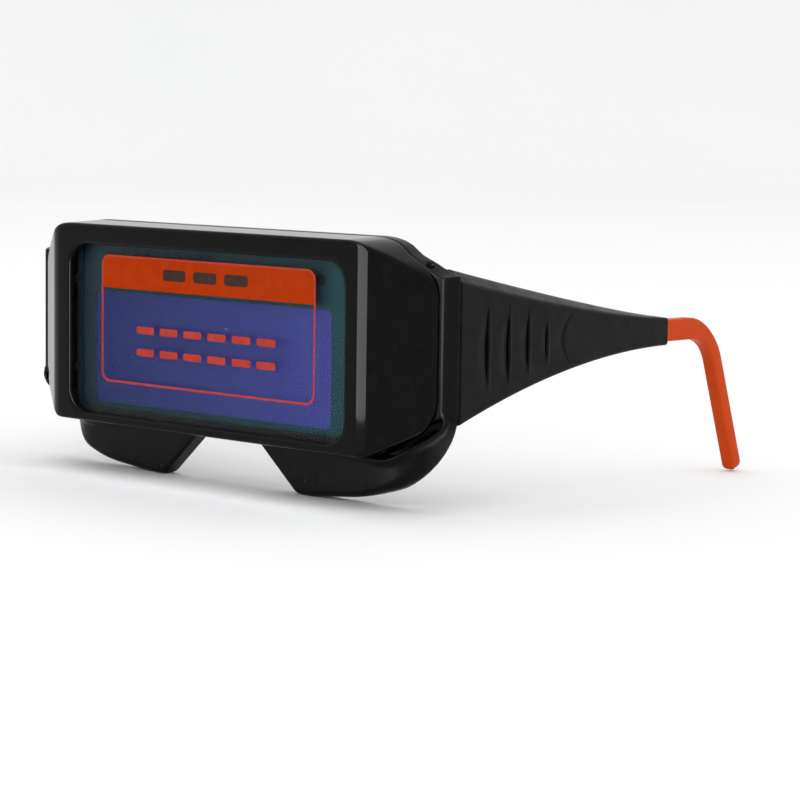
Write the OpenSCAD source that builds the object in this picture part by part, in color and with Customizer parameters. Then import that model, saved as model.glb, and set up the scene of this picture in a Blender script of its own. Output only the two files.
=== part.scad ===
// Welding goggles with an auto-darkening lens, folding temples and sliding ear tips.
// Millimetres. Worn on the head, +X is the wearer's left, the lens faces -Y and +Z is up.
// Shapes are laid out from the centre of the front face; place() then stands the
// goggles on the ground, centred over the origin.

/* [Front housing] */
// Width of the flat front face
face_w = 119; // [112:0.5:124]
// Height of the flat front face
face_h = 55.2; // [55:0.2:58]
// Wall thickness of the housing
wall = 2; // [1.8:0.1:2.1]
// Sideways spread of each flared side wall for each millimetre of depth
flare = 1.5; // [1.3:0.05:1.6]
// Radius of the two upright front corners
corner_r = 4.5; // [3:0.5:6]
// Width of the window
window_w = 105.8; // [100:0.2:106]
// Height of the window
window_h = 46.9; // [40:0.1:47]
// Height of the window's centre over the face's centre
window_z = -1.6; // [-1.8:0.1:-1]

/* [Lens cartridge] */
// Width of the standard lens cartridge
cartridge_w = 108; // [107:0.5:108]
// Height of the standard lens cartridge
cartridge_h = 51; // [50:0.2:51]
// Width of the clear view in the cartridge
view_w = 92; // [80:1:94]
// Height of the clear view in the cartridge
view_h = 31; // [28:1:34]
// Centre of the view, sideways and up from the face's centre
view_at = [-1.9, -6.7]; // [x, z]

/* [Frame] */
// Half the overall width, to the outside of a temple
side_x = 79.5; // [79:0.5:82]
// How far the cheek shields reach below the face's centre
shield_drop = 41.5; // [40:0.5:44]
// Depth from the front face to the front of the rear frame
frame_front = 10.6; // [10.6:0.1:11]
// Depth from the front face to the back of the rear frame
frame_back = 15.8; // [15.6:0.1:16.2]

/* [Temples] */
// Thickness of a temple
temple_t = 5.6; // [5.6:0.1:6]
// Depth from the front face to the rear end of the temple sleeve
sleeve_end = 101.8; // [98:0.2:104]
// Distance of a hinge axis from the middle plane
hinge_x = 70; // [69.5:0.1:70.2]
// Depth from the front face to a hinge axis
hinge_y = 21.5; // [21.3:0.1:22]

/* [Ear tips] */
// Thickness of an ear tip
tip_t = 3.9; // [3.6:0.1:4]
// Height of the ear tip's straight stem
stem_h = 6.1; // [5.6:0.1:6.1]
// Width of the hooked end
hook_w = 4.4; // [4:0.2:5]
// Radius of the bend, at its centre line
bend_r = 14; // [12:0.5:16]
// Turn of the bend
bend_angle = 70.6; // [66:0.2:74]

/* [Hidden] */
$fn = 48;

gloss_black = [0.1, 0.1, 0.11];
satin_black = [0.17, 0.17, 0.17];
tip_orange = [0.82, 0.33, 0.1];
steel = [0.72, 0.72, 0.74];

// Depths of the layers behind the window, front to back
film_y = 1.75;
film_t = 0.15;
print_t = 0.05;
cover_y = 2.05;
cover_t = 0.95;
gasket_y = 3.05;
gasket_t = 0.8;
cartridge_y = 3.9;
cartridge_t = 5.2;
inner_cover_y = 9.3;
mask_y = cartridge_y + 1.2;
mask_t = 0.5;
lid_t = 0.9;

// Housing
skirt_back = 12.3;
skirt_x = 66;
flare_end = frame_front - 0.15;
shoulder_x = 57.2;
shoulder_rise = 0.7;
top_slant = 0.62;
low_shoulder_x = 58.7;
low_slant = 0.53;
crown_rise = 0.04;
edge_r = 1.3;
beyond = 40;
boss_x = 62.5;
boss_zs = [11, -14];

// Rear frame
opening_w = 106.2;
opening_h = 49.2;
plate_t = 2.4;
rail_z = -27.8;
joint_y = 15.1;
lock_at = [70.9, 12.4];
tab_zs = [13.6, 16];

// Hinge
knuckle_r = 3.4;
pin_r = 1.1;
lug_z = 8;
lug_h = 6;

// Temple
temple_y = joint_y + 0.2;
temple_in = side_x - temple_t;
channel_x = temple_in + 0.8;
channel_t = tip_t + 0.3;
stem_x = channel_x + 0.15;
stem_z = 0.8;
stem_y = 68;
pocket_ys = [27, 88];
cover_t_side = 0.75;
screw_ys = [36, 54];

// Ear tip
bend_y = 113;
bend_centre = [bend_y, stem_z - bend_r];
leg_start = bend_centre + bend_r * [sin(bend_angle), cos(bend_angle)];
leg_dir = [cos(bend_angle), -sin(bend_angle)];
// Rings that round off the end: distance back from the end, and size against the full section
end_rings = [[4, 1], [1.6, 0.9], [0.75, 0.6]];
end_low = end_rings[2][0] * sin(bend_angle) - end_rings[2][1] * hook_w / 2 * cos(bend_angle);
leg_l = (shield_drop + end_low + leg_start[1]) / sin(bend_angle);
tip_end = leg_start + leg_l * leg_dir;
overall_y = tip_end[0] - end_rings[1][0] * cos(bend_angle)
    + end_rings[1][1] * hook_w / 2 * sin(bend_angle);

// ---------- helpers ----------

function unit(v) = v / norm(v);

// Points of the arc that rounds corner b, between its neighbours a and c
function arc_at(a, b, c, r, n = 6) = let (
        u = unit(a - b),
        v = unit(c - b),
        half = acos(u * v) / 2,
        centre = b + r / sin(half) * unit(u + v),
        first = b + r / tan(half) * u - centre,
        last = b + r / tan(half) * v - centre,
        from = atan2(first[1], first[0]),
        turn = atan2(last[1], last[0]) - from,
        sweep = turn > 180 ? turn - 360 : (turn < -180 ? turn + 360 : turn)
    ) [for (i = [0:n]) centre + r * [cos(from + sweep * i / n), sin(from + sweep * i / n)]];

// An outline of [x, y, radius] corners, with each corner rounded by its radius
function rounded(corners) = let (n = len(corners)) [
    for (i = [0:n - 1]) let (
        before = corners[(i + n - 1) % n],
        here = corners[i],
        after = corners[(i + 1) % n],
        at = [here[0], here[1]],
        arc = here[2] > 0 ? arc_at([before[0], before[1]], at, [after[0], after[1]], here[2]) : [at]
    ) each arc];

// The right half of an outline, followed by its mirror image
function mirrored(half) = concat(half,
    [for (i = [len(half) - 1:-1:0]) [-half[i][0], half[i][1], half[i][2]]]);

// A rectangle of corners, for rounded()
function rect(w, h, r, at = [0, 0]) = [
    [at[0] - w / 2, at[1] - h / 2, r],
    [at[0] + w / 2, at[1] - h / 2, r],
    [at[0] + w / 2, at[1] + h / 2, r],
    [at[0] - w / 2, at[1] + h / 2, r]];

// Prism of an [x, y] outline, upright
module plan_prism(corners, z0, z1) {
    translate([0, 0, z0]) linear_extrude(z1 - z0) polygon(rounded(corners));
}

// Prism of an [x, z] outline, from front to back
module front_prism(corners, y0, y1) {
    translate([0, y1, 0]) rotate([90, 0, 0]) linear_extrude(y1 - y0) polygon(rounded(corners));
}

// Prism of a [y, z] outline, from inside to outside
module side_prism(corners, x0, x1) {
    translate([x0, 0, 0]) rotate([90, 0, 90]) linear_extrude(x1 - x0) polygon(rounded(corners));
}

// Flat rounded plate behind the window
module pane(w, h, r, y, t, at = [0, 0]) {
    front_prism(rect(w, h, r, at), y, y + t);
}

// Cylinder along Y that starts at depth y
module rod_y(x, y, z, r, l) {
    translate([x, y, z]) rotate([-90, 0, 0]) cylinder(r = r, h = l);
}

// Closed skin through rings of equally many points
module loft(rings) {
    n = len(rings[0]);
    last = len(rings) - 1;
    points = [for (ring = rings) each ring];
    sides = [for (k = [0:last - 1], i = [0:n - 1]) let (
            a = k * n + i,
            b = k * n + (i + 1) % n
        ) each [[a, b, a + n], [b, b + n, a + n]]];
    start_cap = [for (i = [1:n - 2]) [0, i + 1, i]];
    end_cap = [for (i = [1:n - 2]) [last * n, last * n + i, last * n + i + 1]];
    polyhedron(points, concat(sides, start_cap, end_cap));
}

module on_side(side) {
    if (side > 0) children();
    else mirror([1, 0, 0]) children();
}

module both_sides() {
    for (side = [1, -1]) on_side(side) children();
}

module place() {
    translate([0, -overall_y / 2, shield_drop]) children();
}

// ---------- front housing ----------

// Half width of the housing at a depth, for a surface set in from the outside
function flare_x(y, inset) = face_w / 2 + flare * y - inset * sqrt(1 + flare * flare);

// The skirt has a top and a bottom wall only, so the hollow runs out past its sides
function housing_plan(inset) = let (
        skirt_side = skirt_x + (inset > 0 ? 1 : 0)
    ) mirrored([
        [0, inset, 0],
        [flare_x(inset, inset), inset, max(corner_r - inset, 1)],
        [flare_x(flare_end, inset), flare_end, 0],
        [skirt_side, flare_end, 0],
        [skirt_side, skirt_back + inset, 0]]);

function housing_outline(inset) = let (
        slant_shift = inset * sqrt(1 + top_slant * top_slant),
        outer_x = flare_x(flare_end, 0),
        shoulder_z = face_h / 2 + shoulder_rise,
        top_z = shoulder_z - top_slant * (outer_x - shoulder_x),
        low_z = -face_h / 2 + low_slant * (outer_x - low_shoulder_x)
    ) mirrored([
        [0, shoulder_z - inset, 0],
        [shoulder_x, shoulder_z - inset, 6],
        [outer_x, top_z - slant_shift, 4],
        [outer_x, low_z + slant_shift, 4],
        [low_shoulder_x, -face_h / 2 + inset, 5],
        [0, -face_h / 2 + inset, 0]]);

function housing_profile(inset) = [
    [inset, -face_h / 2 + inset, max(edge_r - inset, 0)],
    [beyond, -face_h / 2 + inset, 0],
    [beyond, face_h / 2 + beyond * crown_rise - inset, 0],
    [inset, face_h / 2 - inset, max(edge_r - inset, 0)]];

module housing_sides(inset) {
    intersection() {
        front_prism(housing_outline(inset), -1, beyond);
        side_prism(housing_profile(inset), -2 * beyond, 2 * beyond);
    }
}

module housing_form(inset) {
    intersection() {
        plan_prism(housing_plan(inset), -beyond, beyond);
        housing_sides(inset);
    }
}

module housing_bosses() {
    intersection() {
        housing_form(0.5);
        for (z = boss_zs) rod_y(boss_x, 1, z, 2.4, flare_end - 1);
    }
}

// Tab that the endpiece screw locks into the rear frame
module housing_tab(gap = 0) {
    translate([lock_at[0] - 2.6 - gap, 8.6, tab_zs[0] - gap])
        cube([5.2 + 2 * gap, 5.6 + gap, tab_zs[1] - tab_zs[0] + 2 * gap]);
}

module front_housing() {
    color(gloss_black) place() difference() {
        union() {
            difference() {
                housing_form(0);
                housing_form(wall);
            }
            both_sides() housing_bosses();
            both_sides() intersection() {
                union() {
                    housing_form(0.5);
                    translate([skirt_x, flare_end, 0]) cube([8, 6, 20]);
                }
                housing_tab();
            }
            both_sides() translate([cartridge_w / 2 + 0.3, wall - 0.1, -20]) cube([1, 6, 40]);
        }
        pane(window_w, window_h, 6.5, -1, wall + 2, [0, window_z]);
        pane(window_w + 3, window_h + 3, 8, -1, 1.5, [0, window_z]);
        both_sides() for (z = boss_zs) rod_y(boss_x, 5.8, z, 0.97, 8);
        both_sides() translate([lock_at[0], lock_at[1], 10]) cylinder(r = 1.05, h = 8);
    }
}

// ---------- rear frame ----------

frame_outline = mirrored([
    [0, 28.2, 0],
    [57, 28.2, 14],
    [66.8, 23.8, 30],
    [side_x, 18.9, 2.5],
    [side_x, -18, 22],
    [76.5, -27, 20],
    [66, -35.5, 30],
    [50, -39.8, 60],
    [31, -shield_drop, 30],
    [26, -shield_drop, 4],
    [12, rail_z - 1, 5],
    [8, rail_z, 0]]);

module frame_form() {
    intersection() {
        plan_prism(mirrored([
            [0, frame_front, 0],
            [side_x, frame_front, 4.4],
            [side_x, joint_y, 0],
            [skirt_x, joint_y, 0],
            [skirt_x, frame_back, 0],
            [0, frame_back, 0]]), -45, 45);
        front_prism(frame_outline, 0, 30);
    }
}

// Hollow behind the brow and the sides, and another behind each cheek shield
module frame_hollows() {
    y = frame_front + plate_t;
    front_prism(mirrored([
        [0, 26.2, 0],
        [54.5, 26.2, 8],
        [skirt_x, 20.4, 2],
        [skirt_x, -22.5, 2],
        [0, -22.5, 0]]), y, y + 10);
    both_sides() front_prism([
        [8, -31, 0],
        [68, -31, 2],
        [60, -35.4, 6],
        [46, -38.4, 10],
        [31, -39.6, 6],
        [18, -39.6, 0]], y, y + 10);
}

// The skirt of the housing wraps the front part of the plate
module skirt_rebate() {
    gap = 0.15;
    difference() {
        translate([-skirt_x - gap, frame_front - 1, rail_z - 0.3])
            cube([2 * (skirt_x + gap), skirt_back + gap - frame_front + 1, 2 * beyond]);
        housing_sides(wall + gap);
    }
}

// Vent pocket between the housing's underside and the lip of the cheek shield
module vent_pocket() {
    front_prism([
        [53, -28.3, 0],
        [57, -28.9, 0],
        [60.5, -28.2, 0],
        [66, -25.9, 0],
        [72, -23.2, 0],
        [76, -20.9, 0],
        [76.9, -19.6, 0],
        [76.3, -18.4, 0],
        [60, -24, 0]], frame_front - 2, 14.2);
}

module hinge_lug(z) {
    translate([0, 0, z]) {
        translate([hinge_x, hinge_y, 0]) cylinder(r = knuckle_r, h = lug_h);
        translate([hinge_x - knuckle_r, joint_y - 0.5, 0])
            cube([2 * knuckle_r, hinge_y - joint_y + 0.5, lug_h]);
    }
}

module rear_frame() {
    color(satin_black) place() difference() {
        union() {
            difference() {
                frame_form();
                frame_hollows();
            }
            both_sides() {
                hinge_lug(lug_z);
                hinge_lug(-lug_z - lug_h);
            }
        }
        skirt_rebate();
        pane(opening_w, opening_h, 4, 0, 30);
        both_sides() {
            vent_pocket();
            housing_tab(0.15);
            for (z = boss_zs) rod_y(boss_x, 5, z, 1.1, 9);
            translate([lock_at[0], lock_at[1], 0]) {
                translate([0, 0, 10.5]) cylinder(r = 0.97, h = 4);
                translate([0, 0, 15]) cylinder(r = 1.05, h = 4);
                translate([0, 0, 18]) cylinder(r = 1.75, h = 8);
            }
            translate([hinge_x, hinge_y, -20]) cylinder(r = pin_r + 0.03, h = 40);
            translate([hinge_x, hinge_y, lug_z + lug_h - 1.2]) cylinder(r = 2.05, h = 3);
        }
    }
}

module lens_retainer() {
    color(satin_black) place() difference() {
        union() {
            pane(opening_w - 0.3, opening_h - 0.3, 3.9, frame_front - 0.2, 1.8);
            pane(opening_w + 2, 8, 1, frame_front + plate_t + 0.05, 1.2);
            pane(opening_w - 0.3, 7.6, 1, frame_front + 1, 2);
        }
        pane(98, 42, 4, 0, 30);
    }
}

// ---------- layers behind the window ----------

module cover_lens() {
    color([0.85, 0.93, 0.95, 0.35]) place()
        pane(cartridge_w - 0.2, cartridge_h - 0.2, 2, cover_y, cover_t);
}

module protective_film() {
    color([0.8, 0.9, 0.95, 0.25]) place() pane(98, 43, 3, film_y + print_t, film_t, [0, window_z]);
}

// Orange printing on the film: a header band, a thin border and rows of blank marks
sticker_w = 82.9;
sticker_h = 35.3;
sticker_z = 1.7;
band_h = 9.1;
mark_rows = [[-1.9, [13, 14, 8.5]], [-8.6, [20, 8.5, 14.5, 10.5]]];

function total(list, i = 0) = i < len(list) ? list[i] + total(list, i + 1) : 0;
function ahead(list, n) = n > 0 ? list[n - 1] + 2.6 + ahead(list, n - 1) : 0;

module film_print() {
    color([0.75, 0.25, 0.08]) place() {
        difference() {
            pane(sticker_w, sticker_h, 3, film_y, print_t, [0, sticker_z]);
            pane(sticker_w - 1.2, sticker_h - 1.2, 2.4, 0, 5, [0, sticker_z]);
            translate([-50, 0, sticker_z + sticker_h / 2 - band_h]) cube([100, 5, band_h]);
        }
        difference() {
            pane(sticker_w, sticker_h, 3, film_y, print_t, [0, sticker_z]);
            translate([-50, 0, sticker_z - sticker_h / 2 - 1]) cube([100, 5, sticker_h - band_h + 1]);
        }
        for (row = mark_rows) let (
            words = row[1],
            row_w = total(words) + 2.6 * (len(words) - 1)
        ) for (i = [0:len(words) - 1])
            pane(words[i], 2.4, 0.8, film_y, print_t, [ahead(words, i) + (words[i] - row_w) / 2, row[0]]);
    }
}

module lens_gasket() {
    color([0.12, 0.12, 0.12]) place() difference() {
        pane(cartridge_w - 0.2, cartridge_h - 0.2, 2, gasket_y, gasket_t);
        pane(window_w - 0.4, window_h + 0.6, 3, 0, 20);
    }
}

solar_w = 34;
solar_h = 9;
solar_at = [-17, 16.4];
sensor_xs = [32, 40];

module view_windows(y, t) {
    pane(view_w, view_h, 1.6, y, t, view_at);
    pane(solar_w, solar_h, 0.5, y, t, solar_at);
    for (x = sensor_xs) rod_y(x, y, solar_at[1], 1.8, t);
}

module cartridge_front_case() {
    back = cartridge_y + cartridge_t - lid_t - 0.05;
    color([0.12, 0.2, 0.21]) place() difference() {
        pane(cartridge_w, cartridge_h, 2, cartridge_y, back - cartridge_y);
        pane(cartridge_w - 1.4, cartridge_h - 1.4, 1.4, cartridge_y - 1, mask_y - cartridge_y + 1);
        pane(cartridge_w - 1.4, cartridge_h - 1.4, 1.4, mask_y + mask_t, 10);
        view_windows(0, 20);
    }
}

module uv_ir_filter() {
    color([0.2, 0.4, 0.42, 0.6]) place()
        pane(cartridge_w - 1.6, cartridge_h - 1.6, 1.3, cartridge_y + 0.05, 1.1);
}

// One layer of the light valve; the layers are counted from the front
layer_ts = [0.2, 0.75, 0.2, 0.75, 0.2];
function layer_y(i) = mask_y + mask_t + 0.05 + (i > 0 ? total([for (k = [0:i - 1]) layer_ts[k] + 0.04]) : 0);

module valve_layer(i) {
    pane(view_w + 4, view_h + 3, 1, layer_y(i), layer_ts[i], view_at);
}

module front_polariser() {
    color([0.3, 0.3, 0.55, 0.7]) place() valve_layer(0);
}

module front_lcd_cell() {
    color([0.3, 0.3, 0.6, 0.6]) place() valve_layer(1);
}

module middle_polariser() {
    color([0.3, 0.3, 0.5, 0.7]) place() valve_layer(2);
}

module rear_lcd_cell() {
    color([0.3, 0.3, 0.6, 0.6]) place() valve_layer(3);
}

module rear_polariser() {
    color([0.3, 0.3, 0.5, 0.7]) place() valve_layer(4);
}

module solar_cell() {
    color([0.07, 0.07, 0.14]) place() pane(solar_w + 1.5, solar_h + 1.5, 0.4, mask_y + mask_t + 0.05, 0.4, solar_at);
}

module circuit_board() {
    color([0.1, 0.35, 0.2]) place() union() {
        pane(88, 10, 0.5, 6.5, 0.8, [0, solar_at[1]]);
        for (x = [-30, -20, 8, 18]) pane(4, 3, 0.2, 7.25, 0.6, [x, solar_at[1]]);
    }
}

module light_sensors() {
    color([0.05, 0.05, 0.05]) place() for (x = sensor_xs) rod_y(x, mask_y + 0.1, solar_at[1], 1.6, 1.25);
}

module cartridge_rear_case() {
    color([0.12, 0.12, 0.12]) place() difference() {
        pane(cartridge_w, cartridge_h, 2, cartridge_y + cartridge_t - lid_t, lid_t);
        pane(view_w, view_h, 1.6, 0, 20, view_at);
    }
}

module inner_cover_lens() {
    color([0.85, 0.93, 0.95, 0.35]) place() pane(cartridge_w - 0.6, cartridge_h - 0.6, 2, inner_cover_y, 0.95);
}

// ---------- nose bridge and pads ----------

pad_at = [11, 22, -19];
pad_tilt = 24;
pad_r = 1.7;
arm_x = 17;

module nose_bridge() {
    color(satin_black) place() {
        translate([-arm_x - 2, frame_back, -27.6]) cube([2 * arm_x + 4, 2, 4]);
        both_sides() hull() {
            translate([arm_x, frame_back + 0.5, -27.4]) cube([2, 1, 3.6]);
            translate(pad_at) rotate([0, -pad_tilt, 0]) translate([pad_r + 0.05, -1.2, -1.8]) cube([1, 2.4, 3.6]);
        }
    }
}

module nose_pad(side) {
    color([0.13, 0.13, 0.13]) place() on_side(side)
        translate(pad_at) rotate([0, -pad_tilt, 0]) hull() {
            for (z = [-6, 6], y = [-2.5, 2.5]) translate([0, y, z]) sphere(r = pad_r, $fn = 20);
        }
}

module nose_pad_left() {
    nose_pad(1);
}

module nose_pad_right() {
    nose_pad(-1);
}

// ---------- screws and pins ----------

// Small pan-head screw with a cross recess; its head ends at z = 0 and its shank points up
module screw(shank_l, head_r = 1.8, head_h = 1.1, shank_r = 0.95) {
    difference() {
        union() {
            translate([0, 0, -head_h]) cylinder(r = head_r, h = head_h);
            cylinder(r = shank_r, h = shank_l);
        }
        for (turn = [0, 90]) rotate([0, 0, turn])
            translate([-head_r * 0.6, -0.22, -head_h - 0.1]) cube([head_r * 1.2, 0.44, 0.75]);
    }
}

module housing_screws() {
    color(steel) place() both_sides() for (z = boss_zs)
        translate([boss_x, frame_front + plate_t, z]) rotate([90, 0, 0]) screw(6.8);
}

module endpiece_screws() {
    color(steel) place() both_sides()
        translate([lock_at[0], lock_at[1], 18]) rotate([180, 0, 0]) screw(7, 1.65, 1.1);
}

module hinge_pin(side) {
    color(steel) place() on_side(side)
        translate([hinge_x, hinge_y, lug_z + lug_h - 1.2]) rotate([180, 0, 0])
            screw(2 * (lug_z + lug_h) - 2.4, 1.95, 1, pin_r);
}

module hinge_pin_left() {
    hinge_pin(1);
}

module hinge_pin_right() {
    hinge_pin(-1);
}

// ---------- temples ----------

// Edge of the temple at a depth: it falls from the root to the sleeve's end along a power curve
function edge(y, root, end, power) = end + (root - end) * pow(max(0, 1 - (y - temple_y) / (sleeve_end - temple_y)), power);
function crest(y) = edge(y, 20.8, 4.8, 1.16);
function bevel(y) = edge(y, 17.6, 4.5, 1.4);
function keel(y) = edge(y, -18.8, -3.15, 1.9);

temple_steps = 12;

function temple_ring(y) = [
    [temple_in, y, keel(y)],
    [side_x - 0.7, y, keel(y)],
    [side_x, y, keel(y) + 0.7],
    [side_x, y, bevel(y)],
    [temple_in + 1.4, y, crest(y)],
    [temple_in, y, crest(y)]];

// Outline of the pocket on the temple's inner face
function pocket_outline(inset) = let (
        y0 = pocket_ys[0] + inset,
        y1 = pocket_ys[1] - inset,
        ys = [for (i = [0:5]) y0 + (y1 - y0) * i / 5]
    ) concat(
        [for (y = ys) [y, keel(y) + 1.4 + inset, 0]],
        [for (i = [5:-1:0]) [ys[i], bevel(ys[i]) - 0.9 - inset, 0]]);

module hinge_knuckle() {
    h = 2 * lug_z - 0.5;
    translate([0, 0, -h / 2]) {
        translate([hinge_x, hinge_y, 0]) cylinder(r = knuckle_r, h = h);
        translate([hinge_x, hinge_y - knuckle_r, 0]) cube([temple_in - hinge_x + 1, 2 * knuckle_r, h]);
    }
}

// Shallow crescent cut into the temple's outer face
module louvre(y, z0, z1) {
    side_prism([
        [y, z0, 0],
        [y, z1, 0],
        [y - 2.6, (z0 + z1) / 2 + 4, 6],
        [y - 2.6, (z0 + z1) / 2 - 4, 6]], side_x - 0.45, side_x + 1);
}

module temple_shell(side) {
    color(satin_black) place() on_side(side) difference() {
        union() {
            difference() {
                loft([for (i = [0:temple_steps])
                    temple_ring(temple_y + (sleeve_end - temple_y) * i / temple_steps)]);
                side_prism(pocket_outline(0), temple_in - 1, side_x - 1.1);
            }
            for (y = screw_ys) translate([temple_in + cover_t_side + 0.05, y, 0])
                rotate([0, 90, 0]) cylinder(r = 2.2, h = temple_t - 1.5);
            hinge_knuckle();
        }
        translate([channel_x, 60, stem_z - stem_h / 2 - 0.15])
            cube([channel_t, sleeve_end - 59, stem_h + 0.3]);
        for (y = screw_ys) translate([temple_in, y, 0]) rotate([0, 90, 0]) cylinder(r = 0.82, h = 4.4);
        translate([hinge_x, hinge_y, -20]) cylinder(r = pin_r + 0.04, h = 40);
        louvre(25.6, -10.5, 12.4);
        louvre(33.8, -9.2, 10.7);
        louvre(41.6, -7.2, 9.6);
        louvre(49.2, -4.8, 7.3);
    }
}

module temple_cover(side) {
    color(satin_black) place() on_side(side) difference() {
        side_prism(pocket_outline(0.15), temple_in, temple_in + cover_t_side);
        for (y = screw_ys) translate([temple_in - 1, y, 0]) rotate([0, 90, 0]) cylinder(r = 0.9, h = 3);
        for (y = screw_ys) translate([temple_in - 1, y, 0]) rotate([0, 90, 0]) cylinder(r = 1.5, h = 1.4);
    }
}

module temple_screws(side) {
    color(steel) place() on_side(side) for (y = screw_ys)
        translate([temple_in + 0.4, y, 0]) rotate([0, 90, 0]) screw(3.6, 1.4, 0.4, 0.8);
}

// Bent leaf that presses on the stem's notches, drawn with its bump just clear of the stem
module detent_spring(side) {
    top = stem_z + stem_h / 2;
    color(steel) place() on_side(side) side_prism([
        [72, top + 1.5, 0],
        [77, top + 1, 0],
        [79, top + 0.2, 0.4],
        [80.6, top + 0.7, 0],
        [82, top + 0.75, 0],
        [82, top + 1.05, 0],
        [80.4, top + 1, 0],
        [79, top + 0.6, 0.3],
        [77.2, top + 1.3, 0],
        [72, top + 1.8, 0]], channel_x + 0.8, channel_x + channel_t - 0.8);
}

// Cross-section of the ear tip about a point of its centre line, w wide across the bend
function tip_ring(at, across, w, t) = let (
        mid_x = stem_x + tip_t / 2,
        c = 0.9
    ) [for (p = [
        [-t / 2 + c, -w / 2], [t / 2 - c, -w / 2], [t / 2, -w / 2 + c], [t / 2, w / 2 - c],
        [t / 2 - c, w / 2], [-t / 2 + c, w / 2], [-t / 2, w / 2 - c], [-t / 2, -w / 2 + c]])
        [mid_x + p[0], at[0] + p[1] * across[0], at[1] + p[1] * across[1]]];

bend_steps = 9;

module ear_tip(side) {
    leg_across = [sin(bend_angle), cos(bend_angle)];
    rings = concat(
        [tip_ring([stem_y, stem_z], [0, 1], stem_h, tip_t)],
        [for (i = [0:bend_steps]) let (
            a = bend_angle * i / bend_steps,
            w = stem_h + (hook_w - stem_h) * min(1, 1.4 * i / bend_steps)
        ) tip_ring(bend_centre + bend_r * [sin(a), cos(a)], [sin(a), cos(a)], w, tip_t)],
        [for (k = end_rings)
            tip_ring(tip_end - k[0] * leg_dir, leg_across, hook_w * k[1], tip_t * k[1])]);
    top = stem_z + stem_h / 2;
    color(tip_orange) place() on_side(side) difference() {
        loft(rings);
        for (y = [75, 79, 83]) translate([stem_x - 1, y - 0.7, top - 0.4]) cube([tip_t + 2, 1.4, 1]);
    }
}

module temple_shell_left() {
    temple_shell(1);
}

module temple_shell_right() {
    temple_shell(-1);
}

module temple_cover_left() {
    temple_cover(1);
}

module temple_cover_right() {
    temple_cover(-1);
}

module temple_screws_left() {
    temple_screws(1);
}

module temple_screws_right() {
    temple_screws(-1);
}

module detent_spring_left() {
    detent_spring(1);
}

module detent_spring_right() {
    detent_spring(-1);
}

module ear_tip_left() {
    ear_tip(1);
}

module ear_tip_right() {
    ear_tip(-1);
}

front_housing();
rear_frame();
cover_lens();
protective_film();
film_print();
lens_gasket();
cartridge_front_case();
uv_ir_filter();
front_polariser();
front_lcd_cell();
middle_polariser();
rear_lcd_cell();
rear_polariser();
solar_cell();
circuit_board();
light_sensors();
cartridge_rear_case();
inner_cover_lens();
lens_retainer();
nose_bridge();
nose_pad_left();
nose_pad_right();
housing_screws();
endpiece_screws();
hinge_pin_left();
hinge_pin_right();
temple_shell_left();
temple_shell_right();
temple_cover_left();
temple_cover_right();
temple_screws_left();
temple_screws_right();
detent_spring_left();
detent_spring_right();
ear_tip_left();
ear_tip_right();
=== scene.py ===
import math

import bmesh
import bpy
import numpy as np
from mathutils import Matrix, Vector


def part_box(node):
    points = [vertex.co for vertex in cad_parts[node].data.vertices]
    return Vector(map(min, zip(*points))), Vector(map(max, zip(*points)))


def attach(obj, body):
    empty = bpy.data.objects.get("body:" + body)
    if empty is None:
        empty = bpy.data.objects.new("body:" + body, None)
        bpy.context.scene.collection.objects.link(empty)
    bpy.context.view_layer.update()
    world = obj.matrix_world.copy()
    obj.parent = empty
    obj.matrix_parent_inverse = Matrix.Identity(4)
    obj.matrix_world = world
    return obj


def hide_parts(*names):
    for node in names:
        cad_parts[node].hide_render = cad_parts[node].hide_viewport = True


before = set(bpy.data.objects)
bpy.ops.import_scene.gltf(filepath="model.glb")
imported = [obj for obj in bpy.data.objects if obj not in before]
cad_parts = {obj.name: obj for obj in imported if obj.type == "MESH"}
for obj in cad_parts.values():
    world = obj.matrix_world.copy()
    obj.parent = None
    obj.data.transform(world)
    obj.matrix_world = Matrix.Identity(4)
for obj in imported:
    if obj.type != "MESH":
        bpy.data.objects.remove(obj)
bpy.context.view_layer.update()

# Lengths below are in millimetres from the centre of the front face: x to the wearer's left,
# y backwards and z up. to_row() turns them into the row frame.
MM = 0.001
FACE_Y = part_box("front_housing")[0].y
FACE_Z = sum(c.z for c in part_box("cartridge_rear_case")) / 2
COARSE = 1


def to_row(points):
    """Points given in millimetres from the front face, in the row frame."""
    return np.asarray(points, float) * MM + np.array([0, FACE_Y, FACE_Z])


# ---------- implicit shapes: negative inside, in millimetres ----------


def cut(a, b, r=0.3):
    """Both a and b, with the edge between them rounded to radius r."""
    return np.minimum(-r, np.maximum(a, b)) + np.hypot(np.maximum(a + r, 0), np.maximum(b + r, 0))


def join(a, b, r=0.3):
    """Either a or b, with the corner between them filled to radius r."""
    return -cut(-a, -b, r)


def carve(a, b, r=0.3):
    """a without b, with the edge rounded to radius r."""
    return cut(a, -b, r)


def rect(u, v, w, h, r):
    """Rounded rectangle w by h about the origin."""
    du, dv = np.abs(u) - w / 2 + r, np.abs(v) - h / 2 + r
    return np.hypot(np.maximum(du, 0), np.maximum(dv, 0)) + np.minimum(np.maximum(du, dv), 0) - r


def between(u, low, high):
    return np.maximum(low - u, u - high)


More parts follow.
